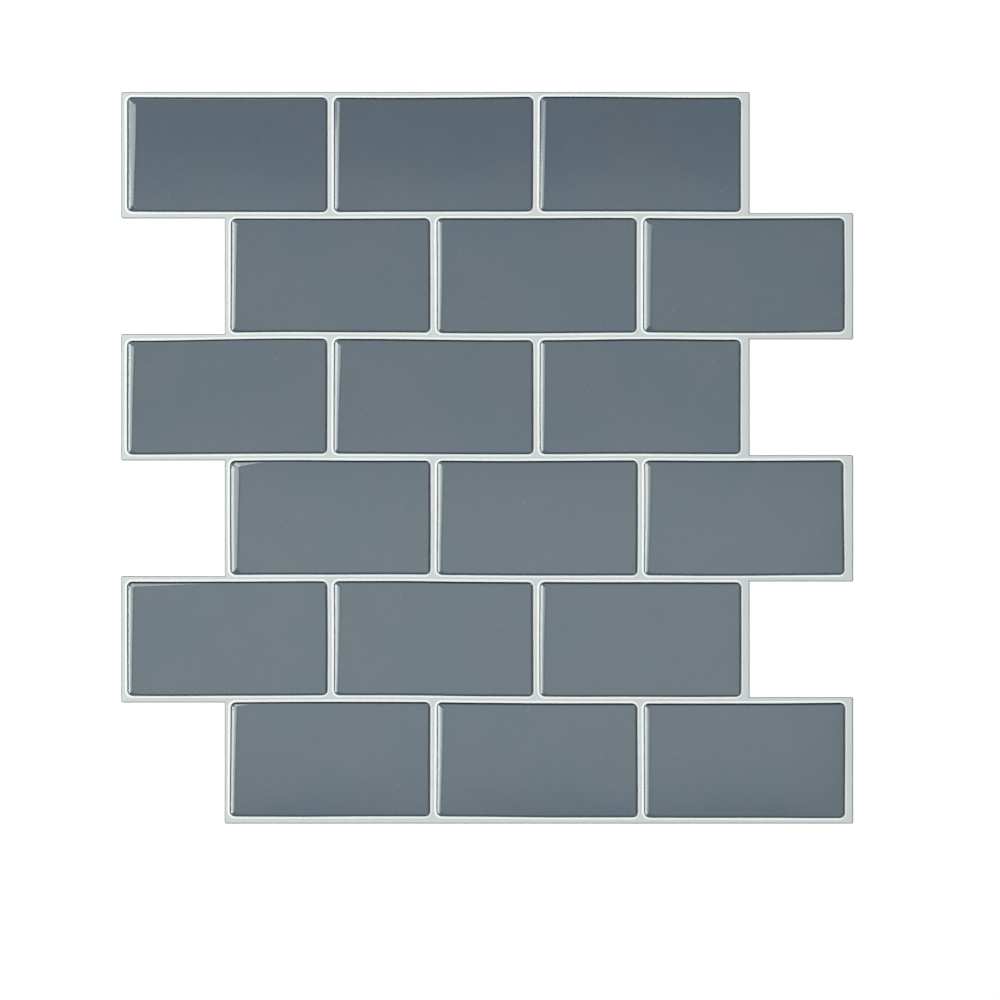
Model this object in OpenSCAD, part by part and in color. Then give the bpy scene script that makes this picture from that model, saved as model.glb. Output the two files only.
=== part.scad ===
// Peel and stick backsplash tile: one stepped sheet of film that carries rows of poured gel tiles
// in running bond, with a backing paper that peels off its adhesive side.
// It lies flat: +X runs along the rows to the right, +Y to the top edge, +Z out of the tile faces.
// The origin is the middle of the sheet's outline, on the underside of the backing paper.

/* [Tiles] */
// Length of one gel tile along its row
tile_length = 83.3; // [40:0.1:150]
// Height of one gel tile across its row
tile_height = 47.6; // [25:0.1:100]
// Radius of a tile's corners, seen from above
tile_corner_r = 2.25; // [0.5:0.05:6]
// Height of the poured gel above the film
gel_rise = 1.3; // [0.5:0.1:3]
// Width of the curved shoulder around a tile's face
shoulder_width = 3; // [1:0.1:8]

/* [Layout] */
// Number of rows
rows = 6; // [2:1:8]
// Number of tiles in a row
columns = 3; // [2:1:5]
// Grout joint between the tiles of a row
row_joint = 2.8; // [1:0.1:8]
// Grout joint between two rows
bed_joint = 2.8; // [1:0.1:8]

/* [Film] */
// Thickness of the film with its adhesive coat
film_thickness = 0.6; // [0.3:0.05:1.5]
// Grout strip to the left of a row's first tile
left_strip = 2.45; // [1:0.05:6]
// Grout strip to the right of a row's last tile
right_strip = 3.8; // [1:0.05:6]
// Grout strip above a row's tiles where no row lies above
top_strip = 2.4; // [1:0.05:6]
// Grout strip below a row's tiles where no row lies below
bottom_strip = 2.8; // [1:0.05:6]
// Radius of the outer corners of the film and the backing paper
sheet_corner_r = 0.8; // [0.2:0.1:2]

/* [Backing paper] */
// Thickness of the backing paper that peels off the adhesive
liner_thickness = 0.15; // [0.1:0.05:0.5]

/* [Hidden] */
$fn = 32;

// Flat steps in a quarter turn of a gel tile's corner, seen from above
corner_steps = 6;
// Flat steps from the foot of a gel tile's wall up to its face
shoulder_steps = 6;
// Smallest corner radius of the inner outlines of a gel tile
least_corner_r = 0.05;

tile_pitch = tile_length + row_joint;
row_pitch = tile_height + bed_joint;
stagger = tile_pitch / 2;

row_length = left_strip + columns * tile_length + (columns - 1) * row_joint + right_strip;
row_height = top_strip + tile_height + bottom_strip;
sheet_length = row_length + stagger;
sheet_height = (rows - 1) * row_pitch + row_height;

sheet_left = -sheet_length / 2;
sheet_top = sheet_height / 2;
film_base_z = liner_thickness;
gel_base_z = film_base_z + film_thickness;

function tile_name(row, column) = str("gel_tile_r", row, "c", column);

// Rows count from the top. Every second row is shifted to the right by half a pitch.
function row_left(row) = sheet_left + (row % 2 == 0 ? stagger : 0);
function row_top(row) = sheet_top - (row - 1) * row_pitch;

function tile_centre(row, column) = [
    row_left(row) + left_strip + tile_length / 2 + (column - 1) * tile_pitch,
    row_top(row) - top_strip - tile_height / 2
];

// A rectangle with round corners, from its lower left corner
module rounded_rectangle(size, r) {
    translate([r, 0]) square([size.x - 2 * r, size.y]);
    translate([0, r]) square([size.x, size.y - 2 * r]);
    for (x = [r, size.x - r], y = [r, size.y - r])
        translate([x, y]) circle(r);
}

// The stepped outline that the film and the backing paper share
module sheet_outline() {
    for (row = [1:rows])
        translate([row_left(row), row_top(row) - row_height])
            rounded_rectangle([row_length, row_height], sheet_corner_r);
    // The part that all rows have in common joins them
    translate([sheet_left + stagger, -sheet_height / 2 + row_height / 2])
        square([row_length - stagger, sheet_height - row_height]);
}

module release_liner() {
    color("oldlace")
        linear_extrude(liner_thickness) sheet_outline();
}

module grout_film() {
    color("gainsboro")
        translate([0, 0, film_base_z])
            linear_extrude(film_thickness) sheet_outline();
}

// One level outline of a gel tile, at a distance in from its foot
function tile_ring(inset, z) =
    let (
        r = max(tile_corner_r - inset, least_corner_r),
        x = tile_length / 2 - inset - r,
        y = tile_height / 2 - inset - r,
        middles = [[x, y], [-x, y], [-x, -y], [x, -y]]
    )
    [
        for (corner = [0:3], step = [0:corner_steps])
            let (angle = 90 * (corner + step / corner_steps))
            [middles[corner].x + r * cos(angle), middles[corner].y + r * sin(angle), z]
    ];

// A poured tile: its wall and shoulder follow a quarter of an ellipse up to a flat face
module gel_dome() {
    ring_size = 4 * (corner_steps + 1);
    points = [
        for (level = [0:shoulder_steps])
            let (angle = 90 * level / shoulder_steps)
            each tile_ring(shoulder_width * (1 - cos(angle)), gel_rise * sin(angle))
    ];
    foot = [for (i = [0:ring_size - 1]) i];
    face = [for (i = [ring_size - 1:-1:0]) shoulder_steps * ring_size + i];
    sides = [
        for (level = [0:shoulder_steps - 1], i = [0:ring_size - 1])
            let (
                next = (i + 1) % ring_size,
                low = level * ring_size,
                high = low + ring_size
            )
            [low + i, high + i, high + next, low + next]
    ];
    polyhedron(points, concat([foot, face], sides));
}

module gel_tile(row, column) {
    centre = tile_centre(row, column);
    color("slategray")
        translate([centre.x, centre.y, gel_base_z])
            gel_dome();
}

release_liner();
grout_film();
for (row = [1:rows], column = [1:columns])
    gel_tile(row, column);
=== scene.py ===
"""A peel and stick backsplash tile: poured gel tiles on a stepped grout film, lying on its backing paper."""
import math
import random

import bmesh
import bpy
from mathutils import Euler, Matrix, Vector, noise


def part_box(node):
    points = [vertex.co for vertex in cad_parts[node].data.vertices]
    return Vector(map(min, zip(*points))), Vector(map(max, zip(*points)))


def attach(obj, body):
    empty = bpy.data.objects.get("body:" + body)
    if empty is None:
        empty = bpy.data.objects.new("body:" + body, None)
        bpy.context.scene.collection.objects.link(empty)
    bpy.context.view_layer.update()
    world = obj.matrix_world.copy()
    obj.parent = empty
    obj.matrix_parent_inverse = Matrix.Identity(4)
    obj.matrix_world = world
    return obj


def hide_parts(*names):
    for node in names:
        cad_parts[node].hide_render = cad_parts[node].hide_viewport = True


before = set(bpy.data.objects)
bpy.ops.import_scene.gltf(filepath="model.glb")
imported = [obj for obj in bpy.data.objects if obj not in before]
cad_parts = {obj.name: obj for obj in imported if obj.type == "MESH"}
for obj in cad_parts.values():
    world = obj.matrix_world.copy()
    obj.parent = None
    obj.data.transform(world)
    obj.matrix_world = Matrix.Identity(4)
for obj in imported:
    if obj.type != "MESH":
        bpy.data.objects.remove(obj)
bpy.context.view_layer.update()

mm = 0.001
lamp_distance = 5.0

# The sheet's own places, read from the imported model
GEL_NODES = sorted(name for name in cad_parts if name.startswith("gel_tile_"))
film_low, film_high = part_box("grout_film")
film_top = film_high.z
sheet_centre = (film_low + film_high) / 2

# Gel tiles
corner_radius = 2.25 * mm
left_shoulder = 2.6 * mm
wide_left_shoulder = 3.8 * mm
steep_width = 0.25 * mm
left_steep_width = 1.25 * mm
left_steep_share = 0.40
WIDE_SHOULDERED = ("gel_tile_r1c1", "gel_tile_r2c3", "gel_tile_r4c1")
narrow_shoulder = 0.8 * mm
corner_spread = 0.6 * mm
corner_sharpening = 2.5
# On these tiles the left shoulder turns the upper corner, and it has run out along the top at this length
ROUND_CORNERED = {"gel_tile_r4c1": 15 * mm, "gel_tile_r5c1": 40 * mm, "gel_tile_r6c1": 11 * mm}
round_corner_sharpening = 0.2
# The shoulder along the top starts with this share of the left one's width
turned_share = 0.9
turn_width = 2.25 * mm
# On the others it ends at a fold that runs in from the upper corner
fold_width = 0.25 * mm
wall_width = 0.4 * mm
left_wall_width = 0.3 * mm
# Width of the painted shadow line where the left shoulder meets the face
shoulder_shadow_width = 0.5 * mm
crown_rise = 0.02 * mm
least_edge = 0.02 * mm
shoulder_reach = 5.6 * mm
shoulder_steps = 30
face_steps_x = 26
face_steps_y = 14
outline_wave = 0.14 * mm
face_wave = 0.006 * mm
wave_length = 34 * mm
sheet_wave = 0.6 * mm
sheet_wave_length = 75 * mm
# Painted shade: widths, fades and strengths of the dark line painted along each gel tile's edge
rim_width = 0.46 * mm
rim_fade = 0.48 * mm
left_rim_width = 0.16 * mm
left_rim_fade = 0.25 * mm
left_rim_strength = 0.9
right_rim_strength = 0.40
bottom_rim_strength = 0.30

# The raised lip of the film around each tile, whose white colour is a painted highlight
lip_width = 0.95 * mm
lip_rise = 0.14 * mm
lip_foot = 0.05 * mm
lip_under_tile = 1.2 * mm
lip_turn = math.radians(144)
lip_steps = 8
lip_cuts = 11
long_edge = 10 * mm
film_edge_bevel = 0.50 * mm


# Shading

class Value:
    """A shader socket that Python's arithmetic works on."""

    def __init__(self, finish, socket):
        self.finish = finish
        self.socket = socket

    def __add__(self, other):
        return self.finish.math("ADD", self, other)

    def __radd__(self, other):
        return self.finish.math("ADD", other, self)

    def __sub__(self, other):
        return self.finish.math("SUBTRACT", self, other)

    def __rsub__(self, other):
        return self.finish.math("SUBTRACT", other, self)

    def __mul__(self, other):
        return self.finish.math("MULTIPLY", self, other)

    def __rmul__(self, other):
        return self.finish.math("MULTIPLY", other, self)

    def __gt__(self, other):
        return self.finish.math("GREATER_THAN", self, other)

    def __lt__(self, other):
        return self.finish.math("LESS_THAN", self, other)


class Finish:
    """One material and the nodes that make it."""

    def __init__(self, tree):
        self.tree = tree
        tree.nodes.clear()

    def node(self, kind, settings=None, sockets=None, out=0):
        """Adds a node, gives it its settings and its sockets' values or links, and returns one output."""
        made = self.tree.nodes.new(kind)
        for name, setting in (settings or {}).items():
            setattr(made, name, setting)
        for key, value in (sockets or {}).items():
            if isinstance(value, Value):
                self.tree.links.new(value.socket, made.inputs[key])
            else:
                made.inputs[key].default_value = value
        return Value(self, made.outputs[out]) if made.outputs else made

    def math(self, operation, first, second):
        return self.node("ShaderNodeMath", {"operation": operation}, {0: first, 1: second})

    def between(self, value, low, high):
        """0 where value is at low or under it, 1 at high and over it, and smooth from one to the other."""
        settings = {"interpolation_type": "SMOOTHSTEP"}
        sockets = {"Value": value, "From Min": low, "From Max": high}
        return self.node("ShaderNodeMapRange", settings, sockets)

    def mix(self, share, first, second):
        """A colour between two colours."""
        settings = {"data_type": "RGBA"}
        return self.node("ShaderNodeMix", settings, {0: share, 6: first, 7: second}, out=2)

    def place(self):
        """A point's place on the piece, in metres."""
        return self.node("ShaderNodeTexCoord", out="Object")

    def height(self):
        """A point's height above the floor, in metres."""
        return self.node("ShaderNodeSeparateXYZ", None, {0: self.place()}, out="Z")

    def grain(self, size, detail=2.0, roughness=0.5):
        """Noise from 0 to 1 whose patches are about size metres across."""
        sockets = {"Vector": self.place(), "Scale": 1 / size, "Detail": detail, "Roughness": roughness}
        return self.node("ShaderNodeTexNoise", None, sockets)

    def bump(self, height, distance):
        return self.node("ShaderNodeBump", None, {"Height": height, "Distance": distance})

    def surface(self, shader):
        self.node("ShaderNodeOutputMaterial", None, {"Surface": shader})


def new_material(name):
    material = bpy.data.materials.new(name)
    material.use_nodes = True
    return material, Finish(material.node_tree)


def colour(red, green, blue):
    return (red, green, blue, 1.0)


def gel_material():
    """Clear gel over a cool grey print, with a dark rim of painted shade, a faint painted shadow inside the
    left shoulder, soft patches, fine grain and a few bubbles.
    """
    material, f = new_material("grey_gel")
    cool = colour(0.084, 0.115, 0.154)
    warm = colour(0.090, 0.115, 0.150)
    # Painted shade: the dark colour for the gel's edge and for the painted shadow inside the left shoulder
    rim = colour(0.013, 0.021, 0.034)
    bubble = colour(0.42, 0.46, 0.48)

    patches = f.mix(f.between(f.grain(42 * mm, 2.0), 0.35, 0.65), cool, warm)
    depth = f.grain(0.8 * mm, 1.0) * 0.26 + f.grain(16 * mm, 2.0) * 0.09 + 0.825
    printed = f.node(
        "ShaderNodeVectorMath", {"operation": "SCALE"}, {0: patches, "Scale": depth}
    )
    # Masks from the mesh for the painted edge shade and the painted shoulder shadow
    rim_shade_share = f.node("ShaderNodeAttribute", {"attribute_name": "rim"}, out="Fac")
    shoulder_shadow_share = f.node("ShaderNodeAttribute", {"attribute_name": "shoulder_shadow"}, out="Fac")
    rimmed = f.mix(rim_shade_share, f.mix(shoulder_shadow_share * 0.22, printed, rim), rim)

    cells = 26 * mm
    voronoi = {"voronoi_dimensions": "2D"}
    sockets = {"Vector": f.place(), "Scale": 1 / cells}
    to_bubble = f.node("ShaderNodeTexVoronoi", voronoi, sockets, out="Distance")
    cell_tint = f.node("ShaderNodeTexVoronoi", voronoi, sockets, out="Color")
    chance = f.node("ShaderNodeSeparateColor", None, {0: cell_tint}, out="Red")
    bubble_share = (to_bubble < 0.16 * mm / cells) * (chance > 0.55)
    base = f.mix(bubble_share * 0.6, rimmed, bubble)

    ripple = f.bump(f.grain(9 * mm, 1.0), 0.03 * mm)
    f.surface(f.node("ShaderNodeBsdfPrincipled", None, {
        "Base Color": base,
        "Roughness": 0.50 + f.grain(30 * mm, 2.0) * 0.06,
        "IOR": 1.5,
        "Specular IOR Level": 0.15,
        "Coat Weight": 1 - rim_shade_share,
        "Coat Roughness": 0.08,
        "Coat IOR": 1.5,
        "Normal": ripple,
    }))
    return material


def film_material():
    """Pale printed film with white lips beside the tiles, a painted highlight, and a thin grey line of
    painted shade inside its white cut edge, also a painted highlight.
    """
    material, f = new_material("grout_print")
    joint = colour(0.66, 0.675, 0.695)
    # Painted highlight: the white of the lips and of the cut edge
    lip = colour(0.985, 0.985, 0.99)
    # Painted shade: the dark line just in from the cut edge
    line = colour(0.09, 0.10, 0.10)
    # By height: the lips' white is a painted highlight, the dark line is painted shade, the white cut edge is
    # a painted highlight
    lip_highlight_share = f.between(f.height(), film_top + 0.005 * mm, film_top + 0.05 * mm)
    edge_shade_share = 1 - f.between(f.height(), film_top - 0.05 * mm, film_top - 0.006 * mm)
    edge_highlight_share = 1 - f.between(f.height(), film_top - 0.20 * mm, film_top - 0.12 * mm)
    printed = f.mix(edge_shade_share, f.mix(lip_highlight_share, joint, lip), f.mix(edge_highlight_share, line, lip))
    depth = f.grain(0.35 * mm, 2.0) * 0.08 + f.grain(12 * mm, 2.0) * 0.06 + 0.93
    base = f.node("ShaderNodeVectorMath", {"operation": "SCALE"}, {0: printed, "Scale": depth})
    f.surface(f.node("ShaderNodeBsdfPrincipled", None, {
        "Base Color": base,
        "Roughness": 0.38 + f.grain(4 * mm, 2.0) * 0.12,
        "IOR": 1.47,
        "Specular IOR Level": 0.12,
        "Coat Weight": 0.12,
        "Coat Roughness": 0.2,
        "Coat IOR": 1.5,
        "Normal": f.bump(f.grain(0.3 * mm, 3.0), 0.012 * mm),
    }))
    return material


def paper_material():
    """Off-white coated backing paper with faint fibres."""
    material, f = new_material("backing_paper")
    light = colour(0.80, 0.775, 0.705)
    dark = colour(0.72, 0.690, 0.620)
    stretched = f.node(
        "ShaderNodeMapping", None, {"Vector": f.place(), "Scale": (1.0, 0.3, 1.0)}
    )
    sockets = {"Vector": stretched, "Scale": 1 / (0.8 * mm), "Detail": 4.0}
    fibres = f.node("ShaderNodeTexNoise", None, sockets)
    clouds = f.grain(14 * mm, 3.0)
    share = f.between(fibres * 0.6 + clouds * 0.4, 0.40, 0.62)
    f.surface(f.node("ShaderNodeBsdfPrincipled", None, {
        "Base Color": f.mix(share, light, dark),
        "Roughness": 0.52 + fibres * 0.16,
        "IOR": 1.45,
        "Normal": f.bump(fibres, 0.015 * mm),
    }))
    return material


# Meshes

def finish_piece(mesh, name, material, replaced):
    """Makes a finished bmesh a piece of the object, in the place of CAD nodes."""
    data = bpy.data.meshes.new(name)
    mesh.to_mesh(data)
    mesh.free()
    data.materials.append(material)
    piece = bpy.data.objects.new(name, data)
    bpy.context.scene.collection.objects.link(piece)
    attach(piece, "root")
    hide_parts(*replaced)
    return piece


def graded_steps(half, face_steps):
    """Places along one direction of a tile, closest together at its outline."""
    outer = [half - shoulder_reach * (step / shoulder_steps) ** 1.5 for step in range(shoulder_steps)]
    inner = half - shoulder_reach
    face = [inner - 2 * inner * step / face_steps for step in range(face_steps + 1)]
    return sorted([-place for place in outer] + face + outer)


def sheet_sway(place):
    """How the flexible sheet strays from straight joints, the same for its tiles and its lips."""
    spot = Vector((place.x / sheet_wave_length, place.y / sheet_wave_length, 7.5))
    return Vector((noise.noise(spot), noise.noise(spot + Vector((0, 0, 20))), 0)) * sheet_wave


def smooth_wave(place, seed):
    return noise.noise(Vector((place.x / wave_length, place.y / wave_length, seed)))


def gel_drop(distance, shoulder, wall, steep):
    """How far the gel lies below the face at a distance in from the outline of a tile."""
    steep_end = wall + steep
    run = shoulder - steep_end
    # Distances in from the outline, each with the slope of the gel there
    profile = [
        (0.0, 1.8),
        (wall / 2, 0.95),
        (wall, 0.44),
        (steep_end, 0.30),
        (steep_end + 0.10 * run, 0.22),
        (steep_end + 0.70 * run, 0.15),
        (shoulder, 0.0),
    ]
    drop = 0.0
    for (start, outer_slope), (end, inner_slope) in zip(profile, profile[1:]):
        here = min(max(distance, start), end)
        slope_here = outer_slope + (inner_slope - outer_slope) * (here - start) / (end - start)
        drop += (end - here) * (slope_here + inner_slope) / 2
    return drop


def rim_shade_share(in_x, in_y, x, y):
    """How much painted shade darkens the gel's edge: a thin line on the left, and fainter ones on the right
    and below.
    """
    width, fade, strength = rim_width, rim_fade, 1.0
    if in_x < in_y and x < 0:
        width, fade, strength = left_rim_width, left_rim_fade, left_rim_strength
    elif in_x < in_y:
        strength = right_rim_strength
    elif y < 0:
        strength = bottom_rim_strength
    return strength * (1 - min(max((min(in_x, in_y) - width) / fade, 0.0), 1.0))


def gel_dome(node, material, shoulder, taper, seed):
    """One tile of gel, whose left shoulder is wide and whose other sides drop off sooner."""
    low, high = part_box(node)
    centre = (low + high) / 2
    half = (high - low) / 2
    rise = high.z - low.z
    mesh = bmesh.new()
    steps_x = graded_steps(half.x, face_steps_x)
    steps_y = graded_steps(half.y, face_steps_y)
    bmesh.ops.create_grid(mesh, x_segments=len(steps_x) - 1, y_segments=len(steps_y) - 1, size=1)
    rim_shade_layer = mesh.verts.layers.float.new("rim")
    shoulder_shadow_layer = mesh.verts.layers.float.new("shoulder_shadow")
    for vertex in mesh.verts:
        column = round((vertex.co.x + 1) / 2 * (len(steps_x) - 1))
        row = round((vertex.co.y + 1) / 2 * (len(steps_y) - 1))
        x, y = steps_x[column], steps_y[row]
        in_x, in_y = half.x - abs(x), half.y - abs(y)
        distance = min(in_x, in_y)
        turns_corner = node in ROUND_CORNERED and x < 0 < y
        # The corners of the inner outlines get sharp soon, so that the shoulders meet in a hip
        sharpening = round_corner_sharpening if turns_corner else corner_sharpening
        arc_radius = max(corner_radius - sharpening * distance, 0)
        across, along = distance + arc_radius - in_x, distance + arc_radius - in_y
        if across > 0 and along > 0:
            to_arc = max(across, along) / math.hypot(across, along)
            x = math.copysign(half.x - distance - arc_radius + across * to_arc, x)
            y = math.copysign(half.y - distance - arc_radius + along * to_arc, y)
        place = Vector((centre.x + x, centre.y + y, low.z))
        crown = (1 - (x / half.x) ** 2) * (1 - (y / half.y) ** 2)
        sway = Vector((smooth_wave(place, seed), smooth_wave(place, seed + 50), 0)) * outline_wave
        left = shoulder * (1 + taper * y / half.y + 0.12 * smooth_wave(place, seed + 150))
        left_steep = min(left_steep_width, left_steep_share * left)
        from_left = half.x + x
        if x < 0:
            end_drop = gel_drop(in_x, left, left_wall_width, left_steep)
        else:
            end_drop = gel_drop(in_x, narrow_shoulder, wall_width, steep_width)
        if turns_corner:
            still_wide = max(1 - from_left / ROUND_CORNERED[node], 0.0) ** 1.4
            turned = narrow_shoulder + (turned_share * left - narrow_shoulder) * still_wide
            turn = min(max(0.5 + (in_x - in_y) / (2 * turn_width), 0.0), 1.0)
            around = left + (turned - left) * turn
            wall = left_wall_width + (wall_width - left_wall_width) * turn
            steep = left_steep + (steep_width - left_steep) * turn
            drop = gel_drop(distance, around, wall, steep)
        elif y > 0:
            end_drop *= math.exp(-max(in_x - in_y, 0) / fold_width)
            drop = max(end_drop, gel_drop(in_y, narrow_shoulder, wall_width, steep_width))
        else:
            spread = math.exp(-max(from_left - left, 0) / corner_spread)
            side_shoulder = narrow_shoulder + (left - narrow_shoulder) * spread
            side_wall = wall_width + (left_wall_width - wall_width) * spread
            side_steep = steep_width + (left_steep - steep_width) * spread
            drop = max(end_drop, gel_drop(in_y, side_shoulder, side_wall, side_steep))
        on_face = min(distance / shoulder_reach, 1.0)
        swell = face_wave * on_face * smooth_wave(place * 2, seed + 100)
        height = rise - crown_rise - drop + crown_rise * crown + swell
        height = min(max(height, least_edge), rise)
        vertex.co = place + sway + sheet_sway(place) + Vector((0, 0, height))
        # Painted shade along the gel's edge
        vertex[rim_shade_layer] = rim_shade_share(in_x, in_y, x, y)
        # A painted shadow line where the left shoulder meets the face
        if x < 0 and in_x < in_y:
            vertex[shoulder_shadow_layer] = max(1 - abs(in_x - left) / shoulder_shadow_width, 0.0)
    for face in mesh.faces:
        face.smooth = True
    rim = [edge for edge in mesh.edges if edge.is_boundary]
    wall = bmesh.ops.extrude_edge_only(mesh, edges=rim)
    foot = [item for item in wall["geom"] if isinstance(item, bmesh.types.BMVert)]
    for vertex in foot:
        vertex.co.z = low.z
        vertex[rim_shade_layer] = 1
    foot_edges = [edge for edge in mesh.edges if edge.is_boundary]
    bmesh.ops.contextual_create(mesh, geom=foot_edges)
    for edge in foot_edges:
        edge.smooth = False
    bmesh.ops.recalc_face_normals(mesh, faces=mesh.faces)
    return finish_piece(mesh, node.replace("gel_tile", "gel_dome"), material, [node])


def film_lip(node):
    """The raised lip of the film around one tile, which runs on under the tile."""
    low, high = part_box(node)
    centre = (low + high) / 2
    mesh = bmesh.new()
    bmesh.ops.create_grid(mesh, x_segments=1, y_segments=1, size=0.5)
    outer = Vector((high.x - low.x + 2 * lip_width, high.y - low.y + 2 * lip_width, 1))
    bmesh.ops.scale(mesh, vec=outer, verts=mesh.verts)
    bmesh.ops.translate(mesh, vec=Vector((centre.x, centre.y, film_top - lip_foot)), verts=mesh.verts)
    bmesh.ops.bevel(
        mesh, geom=mesh.verts, offset=corner_radius + lip_width, segments=12, profile=0.5,
        affect="VERTICES", material=-1,
    )
    skirt = bmesh.ops.extrude_face_region(mesh, geom=mesh.faces)
    top = next(item for item in skirt["geom"] if isinstance(item, bmesh.types.BMFace))
    bmesh.ops.translate(mesh, vec=Vector((0, 0, lip_foot)), verts=top.verts)
    # A half round that keeps part of its height where it meets the tile
    last_across, last_up = 0.0, 0.0
    for step in range(1, lip_steps + 1):
        turn = lip_turn * step / lip_steps
        across = lip_width * (1 - math.cos(turn)) / (1 - math.cos(lip_turn))
        up = lip_rise * math.sin(turn)
        bmesh.ops.inset_region(mesh, faces=[top], thickness=across - last_across, use_even_offset=True)
        bmesh.ops.translate(mesh, vec=Vector((0, 0, up - last_up)), verts=top.verts)
        last_across, last_up = across, up
    bmesh.ops.inset_region(mesh, faces=[top], thickness=lip_under_tile, use_even_offset=True)
    long_edges = [edge for edge in mesh.edges if edge.calc_length() > long_edge]
    bmesh.ops.subdivide_edges(mesh, edges=long_edges, cuts=lip_cuts, use_grid_fill=True)
    for vertex in mesh.verts:
        vertex.co += sheet_sway(vertex.co)
    lip = bpy.data.meshes.new("lip")
    mesh.to_mesh(lip)
    mesh.free()
    return lip


def grout_sheet(material):
    """The film: the CAD plate with softened edges, and a lip around every tile."""
    mesh = bmesh.new()
    mesh.from_mesh(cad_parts["grout_film"].data)
    bmesh.ops.remove_doubles(mesh, verts=mesh.verts, dist=0.001 * mm)
    bmesh.ops.dissolve_limit(
        mesh, angle_limit=math.radians(0.5), verts=mesh.verts, edges=mesh.edges
    )
    top_rim = [
        edge for edge in mesh.edges
        if all(vertex.co.z > film_top - 0.01 * mm for vertex in edge.verts)
        and any(abs(face.normal.z) < 0.5 for face in edge.link_faces)
    ]
    bmesh.ops.bevel(
        mesh, geom=top_rim, offset=film_edge_bevel, offset_type="OFFSET", segments=4, profile=0.5,
        affect="EDGES", material=-1,
    )
    for node in GEL_NODES:
        lip = film_lip(node)
        mesh.from_mesh(lip)
        bpy.data.meshes.remove(lip)
    for face in mesh.faces:
        face.smooth = True
    for edge in mesh.edges:
        edge.smooth = edge.calc_face_angle(math.pi) < math.radians(35)
    return finish_piece(mesh, "grout_sheet", material, ["grout_film"])


def studio():
    """A pale floor, soft lamps and a camera that looks straight down."""
    mesh = bmesh.new()
    bmesh.ops.create_grid(mesh, x_segments=1, y_segments=1, size=12)
    bmesh.ops.translate(mesh, vec=Vector((0, 0, -0.05 * mm)), verts=mesh.verts)
    data = bpy.data.meshes.new("floor")
    mesh.to_mesh(data)
    mesh.free()
    floor = bpy.data.objects.new("floor", data)
    bpy.context.scene.collection.objects.link(floor)

    material, f = new_material("floor")
    camera_ray = f.node("ShaderNodeLightPath", out="Is Camera Ray")
    glossy_ray = f.node("ShaderNodeLightPath", out="Is Glossy Ray")
    clear_ray = f.node("ShaderNodeLightPath", out="Is Transmission Ray")
    seen = camera_ray + glossy_ray + clear_ray
    matt = f.node("ShaderNodeBsdfDiffuse", None, {"Color": colour(0.83, 0.80, 0.80)})
    glow = f.node("ShaderNodeEmission", None, {"Color": colour(1, 1, 1), "Strength": seen * 0.27})
    f.surface(f.node("ShaderNodeAddShader", None, {0: matt, 1: glow}))
    data.materials.append(material)

    world = bpy.data.worlds.new("studio")
    world.use_nodes = True
    bpy.context.scene.world = world
    f = Finish(world.node_tree)
    sky = f.node("ShaderNodeBackground", None, {"Color": colour(0.96, 0.98, 1.0), "Strength": 0.31})
    f.node("ShaderNodeOutputWorld", None, {"Surface": sky})

    lamp_tint = (0.93, 1.0, 0.945)

    def soft_box(name, tilt_x, tilt_y, spread_x, spread_y, radiance):
        """An area lamp that faces the middle of the sheet, tilted from straight up to +X and to +Y.

        Its spreads are the degrees that it covers as seen from there, and radiance is how bright its face is.
        """
        lamp = bpy.data.lights.new(name, "AREA")
        lamp.shape = "RECTANGLE"
        lamp.size = 2 * lamp_distance * math.tan(math.radians(spread_x / 2))
        lamp.size_y = 2 * lamp_distance * math.tan(math.radians(spread_y / 2))
        lamp.energy = radiance * math.pi * lamp.size * lamp.size_y
        lamp.color = lamp_tint
        box = bpy.data.objects.new(name, lamp)
        bpy.context.scene.collection.objects.link(box)
        turn = Euler((math.radians(-tilt_y), math.radians(tilt_x), 0))
        box.rotation_euler = turn
        box.location = turn.to_matrix() @ Vector((0, 0, lamp_distance))

    soft_box("left_fade_box", tilt_x=-18.5, tilt_y=4, spread_x=7, spread_y=26, radiance=4)
    soft_box("left_box", tilt_x=-27.5, tilt_y=4, spread_x=11, spread_y=26, radiance=6.6)
    soft_box("left_strip", tilt_x=-40.5, tilt_y=0.1, spread_x=15, spread_y=11.1, radiance=15.5)
    soft_box("corner_box", tilt_x=-14, tilt_y=17, spread_x=22, spread_y=16, radiance=7)
    soft_box("right_strip", tilt_x=38, tilt_y=0, spread_x=12, spread_y=20, radiance=1.5)
    soft_box("overhead_box", tilt_x=-0.6, tilt_y=-0.2, spread_x=12.5, spread_y=9.6, radiance=1.2)
    soft_box("near_box", tilt_x=-0.6, tilt_y=-2.4, spread_x=12.5, spread_y=5.4, radiance=0.7)

    camera = bpy.data.objects.new("camera", bpy.data.cameras.new("camera"))
    bpy.context.scene.collection.objects.link(camera)
    bpy.context.scene.camera = camera
    camera.data.sensor_width = 36
    camera.data.lens = 200
    # The photograph is 1000 pixels wide, and the sheet's middle lies at this pixel of it
    photo_size = 1000
    sheet_pixels = 732
    middle_x, middle_y = 487, 457.7
    pixel = (film_high.x - film_low.x) / sheet_pixels
    distance = photo_size * pixel * camera.data.lens / camera.data.sensor_width
    camera.location = (
        sheet_centre.x + (photo_size / 2 - middle_x) * pixel,
        sheet_centre.y - (photo_size / 2 - middle_y) * pixel,
        film_top + distance,
    )
    camera.data.clip_start, camera.data.clip_end = 0.05, 50


def main():
    gel, grout, paper = gel_material(), film_material(), paper_material()
    rng = random.Random(18)
    for index, node in enumerate(GEL_NODES):
        usual = wide_left_shoulder if node in WIDE_SHOULDERED else left_shoulder
        shoulder = usual * rng.uniform(0.90, 1.10)
        gel_dome(node, gel, shoulder, taper=rng.uniform(0.08, 0.28), seed=10 * index)
    grout_sheet(grout)
    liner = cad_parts["release_liner"]
    liner.data.materials.clear()
    liner.data.materials.append(paper)
    studio()
    bpy.context.scene.view_settings.view_transform = "Standard"


main()
